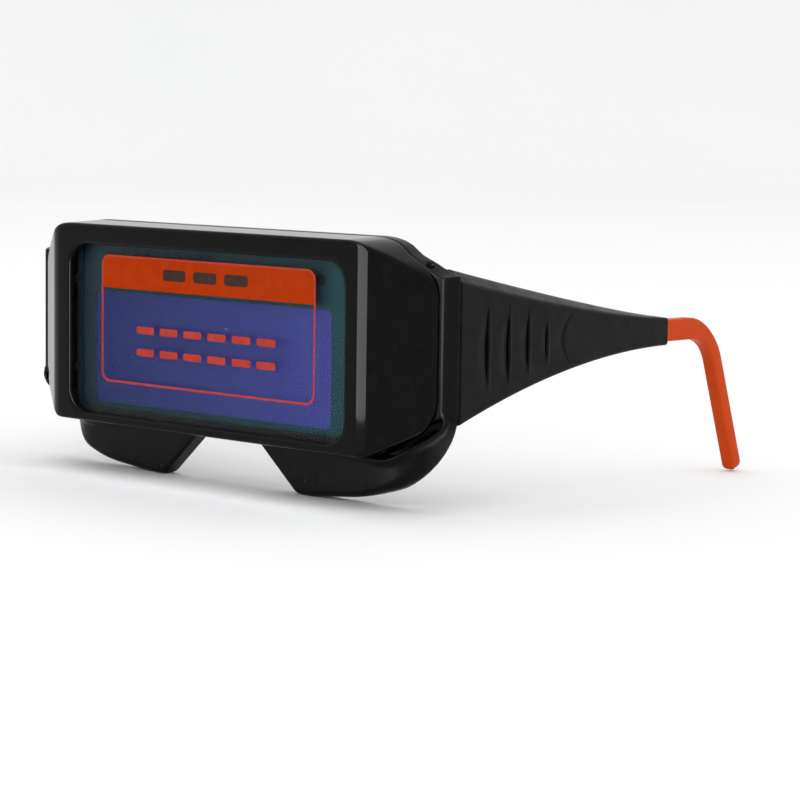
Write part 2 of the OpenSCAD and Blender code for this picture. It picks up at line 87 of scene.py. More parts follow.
def rounded(corners, steps=8):
    """Points of an outline of (x, z, radius) corners, each rounded by its radius."""
    out, n = [], len(corners)
    for i, (x, z, r) in enumerate(corners):
        b = np.array([x, z], float)
        if not r:
            out.append(b)
            continue
        u = np.array(corners[i - 1][:2], float) - b
        v = np.array(corners[(i + 1) % n][:2], float) - b
        u, v = u / np.hypot(*u), v / np.hypot(*v)
        half = math.acos(float(np.clip(u @ v, -1, 1))) / 2
        w = (u + v) / np.hypot(*(u + v))
        centre = b + w * r / math.sin(half)
        first, last = b + u * r / math.tan(half) - centre, b + v * r / math.tan(half) - centre
        start = math.atan2(first[1], first[0])
        sweep = (math.atan2(last[1], last[0]) - start + math.pi) % (2 * math.pi) - math.pi
        for k in range(steps + 1):
            a = start + sweep * k / steps
            out.append(centre + r * np.array([math.cos(a), math.sin(a)]))
    return np.array(out)


def mirrored(half):
    """An outline's right half, followed by its mirror image."""
    return half + [(-x, z, r) for x, z, r in reversed(half)]


def polygon(u, v, points):
    """Signed distance to a closed outline."""
    u, v = np.broadcast_arrays(u, v)
    best = np.full(u.shape, 1e9, np.float32)
    inside = np.zeros(u.shape, bool)
    for (x0, z0), (x1, z1) in zip(points, np.roll(points, -1, axis=0)):
        dx, dz = x1 - x0, z1 - z0
        size = dx * dx + dz * dz
        if size < 1e-12:
            continue
        t = np.clip(((u - x0) * dx + (v - z0) * dz) / size, 0, 1)
        best = np.minimum(best, (u - x0 - t * dx) ** 2 + (v - z0 - t * dz) ** 2)
        if z0 != z1:
            crosses = ((z0 > v) != (z1 > v)) & (u < (x1 - x0) * (v - z0) / (z1 - z0) + x0)
            inside ^= crosses
    return np.where(inside, -1, 1) * np.sqrt(best)


def rod(p, a, b, ra, rb):
    """Capsule from a to b whose radius goes from ra to rb."""
    a, b = np.array(a, float), np.array(b, float)
    d = b - a
    size = d @ d
    t = np.clip(sum((p[i] - a[i]) * d[i] for i in range(3)) / size, 0, 1)
    away = np.sqrt(sum((p[i] - a[i] - t * d[i]) ** 2 for i in range(3)))
    return away - (ra + (rb - ra) * t)


def smooth_curve(points, spread):
    """A function through (position, value) points, softened over spread and straight beyond its ends."""
    step, beyond, half_kernel = 0.1, 8, 3
    xs, zs = zip(*points)
    first, last = (zs[1] - zs[0]) / (xs[1] - xs[0]), (zs[-1] - zs[-2]) / (xs[-1] - xs[-2])
    far = beyond + 1
    fine = np.arange(xs[0] - beyond, xs[-1] + beyond, step)
    far_xs = [xs[0] - far, *xs, xs[-1] + far]
    values = np.interp(fine, far_xs, [zs[0] - far * first, *zs, zs[-1] + far * last])
    reach = round(half_kernel / step)
    kernel = np.exp(-0.5 * (np.arange(-reach, reach + 1) * step / spread) ** 2)
    soft = np.convolve(values, kernel / kernel.sum(), "same")
    return lambda u: np.interp(u, fine, soft).astype(np.float32)


def cell_values(f, at):
    """f, given on a grid, between its points."""
    i = np.clip(np.floor(at).astype(int), 0, np.array(f.shape) - 2)
    t = at - i
    out = 0
    for a in (0, 1):
        for b in (0, 1):
            for c in (0, 1):
                weight = (t[:, 0] if a else 1 - t[:, 0]) * (t[:, 1] if b else 1 - t[:, 1])
                weight = weight * (t[:, 2] if c else 1 - t[:, 2])
                out = out + weight * f[i[:, 0] + a, i[:, 1] + b, i[:, 2] + c]
    return out


def net_points(f, inside):
    """A number for each cell of the grid f that its zero surface crosses, and a point in each such cell."""
    count = np.zeros([n - 1 for n in f.shape], np.uint8)
    corners = [(a, b, c) for a in (0, 1) for b in (0, 1) for c in (0, 1)]
    for a, b, c in corners:
        count += inside[a:a + count.shape[0], b:b + count.shape[1], c:c + count.shape[2]]
    active = (count > 0) & (count < len(corners))
    cells = np.argwhere(active)
    number = np.full(active.shape, -1, np.int64)
    number[active] = np.arange(len(cells))
    value = {c: f[tuple((cells + c).T)] for c in corners}
    total, hits = np.zeros((len(cells), 3)), np.zeros(len(cells))
    for a in corners:
        for axis in range(3):
            if a[axis]:
                continue
            b = tuple(1 if k == axis else a[k] for k in range(3))
            crossing = (value[a] < 0) != (value[b] < 0)
            t = np.where(crossing, value[a] / np.where(crossing, value[a] - value[b], 1), 0)
            point = np.tile(np.array(a, float), (len(cells), 1))
            point[:, axis] += t
            total += point * crossing[:, None]
            hits += crossing
    return number, cells + total / hits[:, None]


def net_faces(inside, number):
    """A quad round each edge of the grid that crosses the surface, facing outwards."""
    faces = []
    for axis in range(3):
        u, v = (axis + 1) % 3, (axis + 2) % 3
        first = [slice(None)] * 3
        second = [slice(None)] * 3
        first[axis], second[axis] = slice(0, -1), slice(1, None)
        edges = np.argwhere(inside[tuple(first)] != inside[tuple(second)])
        edges = edges[(edges[:, u] > 0) & (edges[:, v] > 0)
                      & (edges[:, u] < inside.shape[u] - 1) & (edges[:, v] < inside.shape[v] - 1)]
        ring = []
        for du, dv in ((1, 1), (0, 1), (0, 0), (1, 0)):
            cell = edges.copy()
            cell[:, u] -= du
            cell[:, v] -= dv
            ring.append(number[tuple(cell.T)])
        quads = np.stack(ring, 1)
        outward = inside[tuple(edges.T)]
        faces.append(np.where(outward[:, None], quads, quads[:, ::-1]))
    return np.concatenate(faces)


def settle(at, faces, f):
    """Points evened out along the zero surface of f and pulled onto it, and its normals there."""
    slopes = np.gradient(f)
    pairs = np.concatenate([faces[:, [0, 1]], faces[:, [1, 2]], faces[:, [2, 3]], faces[:, [3, 0]]])
    ways = np.bincount(pairs[:, 0], minlength=len(at)) + np.bincount(pairs[:, 1], minlength=len(at))

    def slope(points):
        return np.stack([cell_values(s, points) for s in slopes], 1)

    def unit(vectors):
        return vectors / np.maximum(np.linalg.norm(vectors, axis=1), 1e-6)[:, None]

    for turn in range(4):
        if turn in (1, 2):
            near = np.stack([
                np.bincount(pairs[:, 0], at[pairs[:, 1], k], len(at))
                + np.bincount(pairs[:, 1], at[pairs[:, 0], k], len(at)) for k in range(3)], 1)
            move = near / np.maximum(ways, 1)[:, None] - at
            g = unit(slope(at))
            at = at + 0.5 * (move - g * (move * g).sum(1)[:, None])
        g = slope(at)
        at = at - np.clip(cell_values(f, at) / np.maximum((g * g).sum(1), 1e-3), -1, 1)[:, None] * g
    return at, unit(slope(at))


def surface(name, shape, low, high, step):
    """Quad mesh of the surface shape(x, y, z) = 0 in the box from low to high."""
    step = step * COARSE
    axes = [np.arange(a, b + step, step, dtype=np.float32) for a, b in zip(low, high)]
    grids = [g.reshape([-1 if k == i else 1 for k in range(3)]) for i, g in enumerate(axes)]
    f = np.ascontiguousarray(np.broadcast_to(shape(*grids), [len(a) for a in axes]), np.float32)
    number, at = net_points(f, f < 0)
    faces = net_faces(f < 0, number)
    at, normals = settle(at, faces, f)
    return piece(name, to_row(np.array(low) + at * step), faces, normals)


def piece(name, points, faces, normals=None):
    """An object at the origin from points in the row frame."""
    mesh = bpy.data.meshes.new(name)
    mesh.from_pydata(np.asarray(points).tolist(), [], [list(map(int, f)) for f in faces])
    mesh.validate()
    mesh.polygons.foreach_set("use_smooth", [True] * len(mesh.polygons))
    if normals is not None and len(mesh.vertices) == len(normals):
        mesh.normals_split_custom_set_from_vertices(np.asarray(normals).tolist())
    obj = bpy.data.objects.new(name, mesh)
    bpy.context.scene.collection.objects.link(obj)
    return obj


def face_outwards(obj):
    """Turn every face of a closed piece outwards."""
    mesh = bmesh.new()
    mesh.from_mesh(obj.data)
    bmesh.ops.recalc_face_normals(mesh, faces=mesh.faces)
    mesh.to_mesh(obj.data)
    mesh.free()
    return obj


def other_side(obj, name):
    """A copy of a left piece for the right side."""
    mesh = obj.data
    n = len(mesh.vertices)
    points = np.empty(n * 3)
    mesh.vertices.foreach_get("co", points)
    points = points.reshape(-1, 3) * [-1, 1, 1]
    normals = np.zeros((n, 3))
    corner_normals = np.array([c.vector[:] for c in mesh.corner_normals])
    corner_vertices = np.empty(len(mesh.loops), int)
    mesh.loops.foreach_get("vertex_index", corner_vertices)
    normals[corner_vertices] = corner_normals * [-1, 1, 1]
    faces = [list(p.vertices)[::-1] for p in mesh.polygons]
    copy = piece(name, points, faces, normals)
    for m in mesh.materials:
        copy.data.materials.append(m)
    return copy


# ---------- materials ----------

# The colour sockets of a Mix node
MIX_A, MIX_B, MIX_RESULT = 6, 7, 2


def linear(r, g, b):
    """Linear colour from 0-255 display values."""
    return tuple((c / 255 / 12.92) if c <= 10 else ((c / 255 + 0.055) / 1.055) ** 2.4 for c in (r, g, b))


class Look:
    """A node material under construction."""

    def __init__(self, name, colour, roughness, **values):
        self.material = bpy.data.materials.new(name)
        self.material.use_nodes = True
        self.tree = self.material.node_tree
        self.bsdf = self.tree.nodes["Principled BSDF"]
        self.bsdf.inputs["Base Color"].default_value = (*colour, 1)
        self.bsdf.inputs["Roughness"].default_value = roughness
        for key, value in values.items():
            self.bsdf.inputs[key.replace("_", " ")].default_value = value
        self.place = self.node("ShaderNodeTexCoord").outputs["Object"]
        self.height = None

    def node(self, kind, **values):
        made = self.tree.nodes.new(kind)
        for key, value in values.items():
            setattr(made, key, value)
        return made

    def link(self, a, b):
        self.tree.links.new(a, b)

    def stretched(self, scale):
        """The object's coordinates, scaled along each axis."""
        mapping = self.node("ShaderNodeMapping")
        mapping.inputs["Scale"].default_value = scale
        self.link(self.place, mapping.inputs["Vector"])
        return mapping.outputs["Vector"]

    def noise(self, scale, detail=4.0, at=None):
        made = self.node("ShaderNodeTexNoise")
        made.inputs["Scale"].default_value = scale
        made.inputs["Detail"].default_value = detail
        self.link(at or self.place, made.inputs["Vector"])
        return made.outputs["Fac"]

    def spread(self, value, low, high, out_low, out_high):
        made = self.node("ShaderNodeMapRange")
        for key, number in zip(("From Min", "From Max", "To Min", "To Max"), (low, high, out_low, out_high)):
            made.inputs[key].default_value = number
        self.link(value, made.inputs["Value"])
        return made.outputs["Result"]

    def blend(self, share, a, b):
        made = self.node("ShaderNodeMix", data_type="RGBA")
        self.link(share, made.inputs["Factor"])
        for side, key in ((a, MIX_A), (b, MIX_B)):
            if isinstance(side, tuple):
                made.inputs[key].default_value = (*side, 1)
            else:
                self.link(side, made.inputs[key])
        return made.outputs[MIX_RESULT]

    def colour(self, share, a, b):
        self.link(self.blend(share, a, b), self.bsdf.inputs["Base Color"])
        return self

    def mottled(self, noise, low, high, a, b):
        """Colour that goes from a to b while the noise goes from low to high."""
        return self.colour(self.spread(noise, low, high, 0, 1), a, b)

    def rough(self, scale, low, high, detail=5.0):
        """Roughness that wanders between low and high."""
        self.link(self.spread(self.noise(scale, detail), 0.3, 0.7, low, high), self.bsdf.inputs["Roughness"])
        return self

    def bump(self, value, strength, distance):
        """Relief on top of any relief made before."""
        made = self.node("ShaderNodeBump")
        made.inputs["Strength"].default_value = strength
        made.inputs["Distance"].default_value = distance
        self.link(value, made.inputs["Height"])
        if self.height is not None:
            self.link(self.height, made.inputs["Normal"])
        self.height = made.outputs["Normal"]
        self.link(self.height, self.bsdf.inputs["Normal"])
        return self

    def along_x(self, low, high):
        """From 0 to 1 between two distances sideways, in millimetres."""
        split = self.node("ShaderNodeSeparateXYZ")
        self.link(self.place, split.inputs["Vector"])
        return self.spread(split.outputs["X"], low * MM, high * MM, 0, 1)


def moulded(name, colour, roughness, grain, depth, level=0.5, worn=1.6):
    """Moulded plastic: faint mottling, uneven gloss and a fine surface grain."""
    look = Look(name, colour, roughness, Specular_IOR_Level=level)
    lighter = tuple(min(1, c * worn + 0.001) for c in colour)
    look.mottled(look.noise(260, 6), 0.42, 0.75, colour, lighter)
    look.rough(190, roughness * 0.85, roughness * 1.2)
    look.bump(look.noise(grain, 3), 0.25, depth * MM)
    return look


def dusty(look, amount, colour=(0.35, 0.35, 0.37)):
    """Sparse specks of dust over the base colour."""
    specks = look.spread(look.noise(1500, 1), 0.785 - amount, 0.8 - amount, 0, 1)
    where = look.spread(look.noise(60, 2), 0.5, 0.62, 0, 1)
    both = look.node("ShaderNodeMath", operation="MULTIPLY")
    look.link(specks, both.inputs[0])
    look.link(where, both.inputs[1])
    old = look.bsdf.inputs["Base Color"].links
    before = old[0].from_socket if old else tuple(look.bsdf.inputs["Base Color"].default_value[:3])
    look.link(look.blend(both.outputs[0], before, colour), look.bsdf.inputs["Base Color"])
    return look


def clear(name, tint, ior, roughness, gloss=(1.0, 1.0, 1.0), haze=None):
    """A thin clear sheet that mirrors more when seen edge-on; haze is (share, colour) of dust and smears."""
    look = Look(name, (0.8, 0.8, 0.8), roughness)
    through = look.node("ShaderNodeBsdfTransparent")
    through.inputs["Color"].default_value = (*tint, 1)
    mirror = look.node("ShaderNodeBsdfGlossy")
    mirror.inputs["Color"].default_value = (*gloss, 1)
    uneven = look.spread(look.noise(90, 5), 0.3, 0.7, roughness * 0.6, roughness * 1.5)
    look.link(uneven, mirror.inputs["Roughness"])
    fresnel = look.node("ShaderNodeFresnel")
    fresnel.inputs["IOR"].default_value = ior
    mix = look.node("ShaderNodeMixShader")
    look.link(fresnel.outputs["Fac"], mix.inputs["Fac"])
    look.link(through.outputs["BSDF"], mix.inputs[1])
    look.link(mirror.outputs["BSDF"], mix.inputs[2])
    result = mix.outputs["Shader"]
    if haze:
        amount, dust = haze
        veil = look.node("ShaderNodeBsdfDiffuse")
        veil.inputs["Color"].default_value = (*dust, 1)
        over = look.node("ShaderNodeMixShader")
        specks = look.spread(look.noise(1100, 1), 0.79, 0.82, 0, 1)
        marks = look.spread(look.noise(45, 3, look.stretched((1, 1, 3))), 0.45, 0.75, amount * 0.4, amount)
        total = look.node("ShaderNodeMath", operation="MULTIPLY_ADD")
        look.link(specks, total.inputs[0])
        total.inputs[1].default_value = 0.35
        look.link(marks, total.inputs[2])
        look.link(total.outputs[0], over.inputs["Fac"])
        look.link(result, over.inputs[1])
        look.link(veil.outputs["BSDF"], over.inputs[2])
        result = over.outputs["Shader"]
    wavy = look.node("ShaderNodeBump")
    wavy.inputs["Strength"].default_value = 0.12
    wavy.inputs["Distance"].default_value = 0.05 * MM
    look.link(look.noise(35, 2), wavy.inputs["Height"])
    look.link(wavy.outputs["Normal"], mirror.inputs["Normal"])
    look.link(wavy.outputs["Normal"], fresnel.inputs["Normal"])
    look.tree.nodes.remove(look.bsdf)
    output = look.tree.nodes["Material Output"]
    look.link(result, output.inputs["Surface"])
    return look


gloss = moulded("gloss_black_abs", linear(5, 5, 6), 0.06, 2600, 0.002, level=0.09)
dusty(gloss, 0.012, (0.06, 0.06, 0.065))
satin = moulded("satin_black_nylon", linear(15, 15, 17), 0.38, 5200, 0.02, level=0.09)
band = moulded("satin_black_frame", linear(10, 10, 11), 0.3, 4600, 0.012, level=0.09)
inner = moulded("matt_black_abs", linear(22, 22, 23), 0.55, 3800, 0.03, level=0.3)
orange = moulded("orange_tpr", linear(194, 64, 2), 0.36, 3200, 0.02, level=0.1, worn=1.08)
rubber = moulded("pad_silicone", linear(38, 38, 40), 0.6, 2500, 0.03, level=0.3)
foam = moulded("gasket_foam", linear(20, 20, 21), 0.95, 1800, 0.2, level=0.1)

steel = Look("brushed_steel", linear(176, 176, 180), 0.3, Metallic=1.0)
steel.rough(900, 0.22, 0.42).bump(steel.noise(1400, 2, steel.stretched((1, 1, 12))), 0.3, 0.01 * MM)
spring = Look("spring_steel", linear(150, 150, 156), 0.24, Metallic=1.0)
spring.rough(700, 0.18, 0.34).bump(spring.noise(1500, 2, spring.stretched((1, 14, 1))), 0.2, 0.01 * MM)

ink = Look("print_orange_ink", linear(172, 52, 1), 0.42, Specular_IOR_Level=0.02)
ink.mottled(ink.noise(320, 5), 0.35, 0.7, linear(172, 50, 1), linear(178, 56, 3))
ink.rough(500, 0.36, 0.5)
line_ink = Look("print_red_ink", linear(178, 62, 46), 0.42, Specular_IOR_Level=0.02)
line_ink.mottled(line_ink.noise(420, 5), 0.35, 0.7, linear(176, 60, 44), linear(186, 70, 56))
line_ink.rough(500, 0.36, 0.5)
dark_ink = Look("print_dark_ink", linear(52, 30, 24), 0.45, Specular_IOR_Level=0.1)
dark_ink.mottled(dark_ink.noise(420, 5), 0.35, 0.7, linear(48, 27, 22), linear(62, 36, 28))

case = Look("cartridge_teal_painted_shade", linear(50, 84, 92), 0.5, Specular_IOR_Level=0.04)
# Painted shade: the teal mask is coloured darker towards the left and lighter towards the right, as light
# falls across it
case.colour(case.along_x(-50, 50), linear(16, 43, 54), linear(54, 82, 85))
case.rough(300, 0.42, 0.6)
valve = Look("lcd_blue_painted_shade", linear(90, 82, 160), 0.3, Specular_IOR_Level=0.04)
# Painted shade: the light valve is coloured darker violet towards the left and lighter towards the right, as
# light falls across it
valve.colour(valve.along_x(-46, 44), linear(48, 36, 116), linear(118, 88, 174))
valve.rough(120, 0.16, 0.3)
deep = Look("lcd_deep", linear(40, 40, 90), 0.3)
deep.mottled(deep.noise(80), 0.3, 0.7, linear(36, 36, 84), linear(48, 48, 104))
deep.rough(200, 0.25, 0.4)
solar = Look("solar_cell", linear(34, 48, 58), 0.3, Specular_IOR_Level=0.06)
stripes = solar.node("ShaderNodeTexWave", wave_type="BANDS", bands_direction="X")
stripes.inputs["Scale"].default_value = 75
solar.link(solar.place, stripes.inputs["Vector"])
solar.colour(solar.spread(stripes.outputs["Fac"], 0.0, 0.06, 1, 0), linear(18, 26, 34), linear(60, 74, 80))
solar.rough(400, 0.25, 0.4)
board = Look("solder_mask", linear(20, 80, 46), 0.4)
board.mottled(board.noise(500, 2), 0.5, 0.56, linear(16, 74, 42), linear(28, 96, 58))
board.rough(300, 0.35, 0.5)
sensor = Look("sensor_window", linear(26, 48, 54), 0.3, Specular_IOR_Level=0.05)
sensor.rough(400, 0.24, 0.36)

cover = clear("clear_polycarbonate", (0.97, 0.98, 0.98), 1.1, 0.02)
film = clear("peel_film", (0.96, 0.98, 0.99), 1.05, 0.05, haze=(0.004, (0.6, 0.7, 0.75)))
teal_glass = clear("teal_filter_glass", (0.8, 0.92, 0.94), 1.11, 0.015, gloss=(0.75, 0.95, 1.0))
inner_clear = clear("inner_clear", (0.95, 0.97, 0.97), 1.45, 0.03, haze=(0.015, (0.6, 0.62, 0.62)))


def dress(obj, look):
    """Give a piece its only material."""
    obj.data.materials.clear()
    obj.data.materials.append(look.material)
    return obj


def finish_cad(look, *nodes, edge=0):
    """A better material, and softened edges, on CAD nodes that stay."""
    for n in nodes:
        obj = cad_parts[n]
        for i in range(len(obj.data.materials)):
            obj.data.materials[i] = look.material
        if not obj.data.materials:
            obj.data.materials.append(look.material)
        if edge:
            weld = obj.modifiers.new("weld", "WELD")
            weld.merge_threshold = 1e-6
            bevel = obj.modifiers.new("edges", "BEVEL")
            bevel.width = edge * MM
            bevel.segments = 2
            bevel.limit_method = "ANGLE"
            bevel.angle_limit = math.radians(38)
            bevel.harden_normals = True


finish_cad(cover, "cover_lens")
finish_cad(film, "protective_film")
finish_cad(teal_glass, "uv_ir_filter")
finish_cad(inner_clear, "inner_cover_lens")
finish_cad(foam, "lens_gasket")
finish_cad(case, "cartridge_front_case")
finish_cad(valve, "front_polariser")
finish_cad(deep, "front_lcd_cell", "middle_polariser", "rear_lcd_cell", "rear_polariser")
finish_cad(solar, "solar_cell")
finish_cad(board, "circuit_board")
finish_cad(sensor, "light_sensors")
finish_cad(inner, "cartridge_rear_case", "lens_retainer", edge=0.25)
finish_cad(steel, "housing_screws", "endpiece_screws", "hinge_pin_left", "hinge_pin_right", edge=0.08)
finish_cad(steel, "temple_screws_left", "temple_screws_right", edge=0.06)
finish_cad(spring, "detent_spring_left", "detent_spring_right")
finish_cad(satin, "temple_cover_left", "temple_cover_right", edge=0.2)

# ---------- shapes shared by the housing and the frame ----------

FACE_W = 119.0
FLARE = 1.5  # how far each side wall runs outwards for each millimetre back
WINDOW_W, WINDOW_H, WINDOW_Z = 105.8, 46.9, -1.6
SIDE_X = 79.5  # outer side of the frame and the temples
FRAME_FRONT, JOINT_Y = 10.6, 15.1
SKIRT_X, SKIRT_BACK = 66.0, 12.3  # the housing reaches further back between its side walls
FLARE_END, FLARE_X = 11.0, 76.2
HINGE_X, HINGE_Y, KNUCKLE_R = 70.0, 21.5, 3.4

# Height of the top along its front edge and along the back, over the distance sideways
top_front = smooth_curve([
    (0, 27.6), (54.5, 27.6), (57.5, 27.2), (59.5, 26.4), (61.4, 25.6), (64, 24.4), (67.4, 22.4),
    (70, 20.75), (72.8, 18.9), (75.4, 18.4), (77, 18.9), (79.5, 18.9)], 0.7)
top_back = smooth_curve([
    (0, 28.2), (54, 28.2), (57, 27.95), (60, 27.3), (62.8, 26.3), (64.6, 25.2), (66.7, 24),
    (69, 23.1), (71.6, 22.2), (73.9, 21.1), (76.5, 20.1), (79.5, 19.1)], 0.8)
underside = smooth_curve([
    (0, -27.6), (57.5, -27.6), (59.5, -27.3), (63.3, -25.3), (67.3, -23.3), (73.4, -19.8), (79, -16.6)], 0.6)


def flank(x, y):
    """Distance outside the housing's flared side wall."""
    return (x - FACE_W / 2 - FLARE * y) / math.hypot(1, FLARE)


def top_of(x, y, z):
    """Distance above the top, which bends from its front edge to its back edge."""
    start = np.maximum(0, (x - FACE_W / 2) / FLARE)
    share = np.clip((y - start) / (JOINT_Y - start), -0.6, 1.2)
    front, back = top_front(x), top_back(x)
    lean = (top_front(x + 0.2) - front) / 0.2
    return (z - front - (back - front) * share) / np.sqrt(1 + lean * lean)


def bottom_of(x, z):
    """Distance below the underside."""
    low = underside(x)
    lean = (underside(x + 0.2) - low) / 0.2
    return (low - z) / np.sqrt(1 + lean * lean)


def seam(x):
    """Depth of the seam between the housing and the frame."""
    return FLARE_END + (SKIRT_BACK - FLARE_END) * np.clip((SKIRT_X - x) / 6, 0, 1)


# ---------- front housing ----------


def housing_shape(x, y, z):
    """A hollow box with flared sides and a stepped window."""
    wall, ledge_w, recess_depth, behind_window = 2.0, 0.55, 1.35, 6
    x = np.abs(x)
    face = cut(-y, flank(x, y), 1.25)
    wall_end = x - FLARE_X
    rim = np.maximum(cut(top_of(x, y, z), wall_end, 5.0), cut(bottom_of(x, z), wall_end, 6.0))
    outside = cut(face, rim, 0.9)
    shell = cut(cut(outside, y - seam(x), 0.25), -(outside + wall), 0.2)
    window = rect(x, z - WINDOW_Z, WINDOW_W, WINDOW_H, 6.5)
    ledge = np.maximum(window + ledge_w, y - behind_window)
    recess = cut(window, y - recess_depth, 0.2)
    return carve(carve(shell, ledge, 0.4), recess, 1.1)


housing = dress(surface("front_shell", housing_shape, (-76.4, -0.7, -28.6), (76.4, 13.2, 29), 0.36), gloss)
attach(housing, "frame")
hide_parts("front_housing")

# ---------- rear frame ----------

# Front outline of the frame with its cheek shields, cut later by the top
outline = rounded(mirrored([
    (0, 40, 0), (SIDE_X, 40, 0), (SIDE_X, -18, 22), (76.5, -27, 20), (66, -35.5, 30), (50, -39.8, 60),
    (31, -41.5, 30), (26, -41.5, 4), (12, -28.8, 5), (8, -27.8, 0)]))
shield_hollow = rounded([
    (16.8, -31, 0.5), (58, -31, 3), (54, -36.4, 6), (46, -38.2, 10), (31, -39.6, 6), (26.2, -39.4, 1.5)])
back_hollow = rounded(mirrored([
    (0, 26.0, 0), (54.5, 26.0, 8), (SKIRT_X, 20.4, 2), (SKIRT_X, -17, 3), (61, -22.5, 4), (0, -22.5, 0)]))
slot_outline = rounded([
    (54.5, -28.1, 0.3), (58, -28.6, 3), (61.5, -27.8, 4), (65.2, -26.2, 6), (69.6, -24.0, 6),
    (73.8, -21.9, 5), (76.5, -19.8, 2), (77.3, -17.8, 0.9), (76.5, -16.6, 0.8), (75.0, -17.2, 2),
    (62, -22.5, 0), (55, -25.5, 0)])
# Raised lip under the slot, as (x, z, radius) points
lip = [(40, -28.6, 0.2), (48, -29.1, 0.45), (55.0, -29.5, 0.8), (59.6, -29.1, 1.0), (64.3, -27.4, 1.1),
       (69.1, -25.1, 1.1), (73.9, -22.9, 1.1), (76.9, -20.3, 0.95), (77.9, -17.9, 0.6), (77.5, -16.0, 0.2)]


def lip_depth(x):
    """Depth of the frame's rounded front at a distance sideways."""
    r = 5.0
    reach = np.clip(x - (SIDE_X - r), 0, r)
    return FRAME_FRONT + r - np.sqrt(r * r - reach * reach)


# The lower outer corners wrap backwards: beyond WRAP_X, and fully from WRAP_H below WRAP_TOP
WRAP_X, WRAP_TOP, WRAP_H, WRAP_SOFT = 60.5, -17, 14, 3
WRAP_IN, WRAP_BACK = 0.373, 0.417


def wrapped(x, y, z):
    """Where a point of the frame lay before its lower outer corners were wrapped backwards."""
    share = np.clip((WRAP_TOP - z) / WRAP_H, 0, 1)
    share = share * share * (3 - 2 * share)
    beyond = x - WRAP_X
    reach = (beyond + np.sqrt(beyond * beyond + WRAP_SOFT ** 2)) / 2 * share / (1 - WRAP_IN * share)
    return x + WRAP_IN * reach, y - WRAP_BACK * reach


def frame_shape(x, y, z):
    """A wrapped plate with shields, lip and hollows, then the housing's seat, hinge lugs and holes."""
    slack, wall = 0.15, 2.15
    x = np.abs(x)
    plain = x, y
    x, y = wrapped(x, y, z)
    edge = polygon(x, z, outline)
    r = np.interp(x, [14, 25, 50, 66, 76], [0.5, 1.2, 1.8, 3.0, 5.0]).astype(np.float32)
    plate = cut(FRAME_FRONT - y, edge, r)
    lips = [rod((x, y, z), (x0, lip_depth(x0), z0), (x1, lip_depth(x1), z1), r0, r1)
            for (x0, z0, r0), (x1, z1, r1) in zip(lip, lip[1:])]
    plate = join(plate, np.minimum.reduce(lips), 0.8)
    slot = cut(polygon(x, z, slot_outline), y - 14.2, 0.5)
    plate = carve(plate, slot, 0.35)
    plate = cut(plate, top_of(x, y, z), 0.45)
    back = y - JOINT_Y - 0.7 * np.clip((SKIRT_X + 0.5 - x) / 6, 0, 1)
    plate = cut(plate, back, 0.4)
    hollow = np.minimum(polygon(x, z, back_hollow), polygon(x, z, shield_hollow))
    plate = carve(plate, cut(hollow, FRAME_FRONT + 2.4 - y, 0.4), 0.4)
    x, y = plain
    # Seat of the housing's side walls, and rebate for the skirt between them
    inside = np.maximum(top_of(x, y, z) + wall, bottom_of(x, z) + wall)
    seat = np.maximum(np.maximum(flank(x, y) - 0.3, y - FLARE_END - 0.2), bottom_of(x, z) - 0.3)
    plate = carve(plate, seat, 0.15)
    rebate = np.maximum(np.maximum(x - SKIRT_X - slack, y - seam(x) - slack), -inside)
    rebate = np.maximum(rebate, bottom_of(x, z) - slack)
    plate = carve(plate, rebate, 0.1)
    # Hinge lugs, above and below the temple's knuckle
    pin = np.hypot(x - HINGE_X, y - HINGE_Y)
    root = np.maximum(np.abs(x - HINGE_X) - KNUCKLE_R, between(y, JOINT_Y - 0.5, HINGE_Y))
    level = np.minimum(between(z, 8, 14), between(z, -14, -8))
    lugs = cut(np.minimum(pin - KNUCKLE_R, root), level, 0.45)
    solid = join(plate, lugs, 0.5)
    solid = carve(solid, rect(x, z, 106.2, 49.2, 4), 0.3)
    # Holes for the hinge pin and its head, the screw on top and the housing screws
    solid = carve(solid, pin - 1.13, 0.1)
    solid = carve(solid, np.maximum(pin - 2.05, 12.8 - z), 0.15)
    top_hole = np.hypot(x - 70.9, y - 12.75)
    solid = carve(solid, np.maximum(top_hole - 1.05, 18 - z), 0.3)
    for height in (11, -14):
        solid = carve(solid, np.hypot(x - 62.5, z - height) - 1.15, 0.15)
    return solid


rear = dress(surface("frame_shell", frame_shape, (-80.3, 8.8, -42.3), (80.3, 25.6, 29.2), 0.38), band)
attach(rear, "frame")
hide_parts("rear_frame")

# ---------- temples ----------

TEMPLE_IN, TEMPLE_Y, SLEEVE_END = 73.9, 15.3, 101.8
ARC_Y, ARC_Z, ARC_R = 64.3, 0.9, 8.1  # curved step behind the louvres
BEVEL_IN = 4.2  # how far the bevel along the top runs inwards


def falling(y, root, end, power):
    """A height that goes from root at the hinge to end at the sleeve's end."""
    share = np.clip(1 - (y - TEMPLE_Y) / (SLEEVE_END - TEMPLE_Y), 0, 1.05)
    return end + (root - end) * share ** power


def crest(y):
    return falling(y, 20.8, 4.8, 1.16)


def bevel_line(y):
    return falling(y, 17.6, 4.5, 1.4)


def keel(y):
    return falling(y, -18.8, -3.15, 1.9)


pocket_ys = np.linspace(27, 88, 12)
pocket = np.array([(y, keel(y) + 1.4) for y in pocket_ys]
                  + [(y, bevel_line(y) - 0.9) for y in pocket_ys[::-1]])
# Louvres: place, lowest and highest point, width of the scoop in front, half width of the slit
louvres = [(25.6, -10.5, 12.4, 4.8, 0.3), (33.8, -9.2, 10.7, 4.6, 0.32),
           (41.6, -7.2, 9.6, 4.0, 0.34), (49.2, -4.8, 7.3, 2.6, 0.3)]


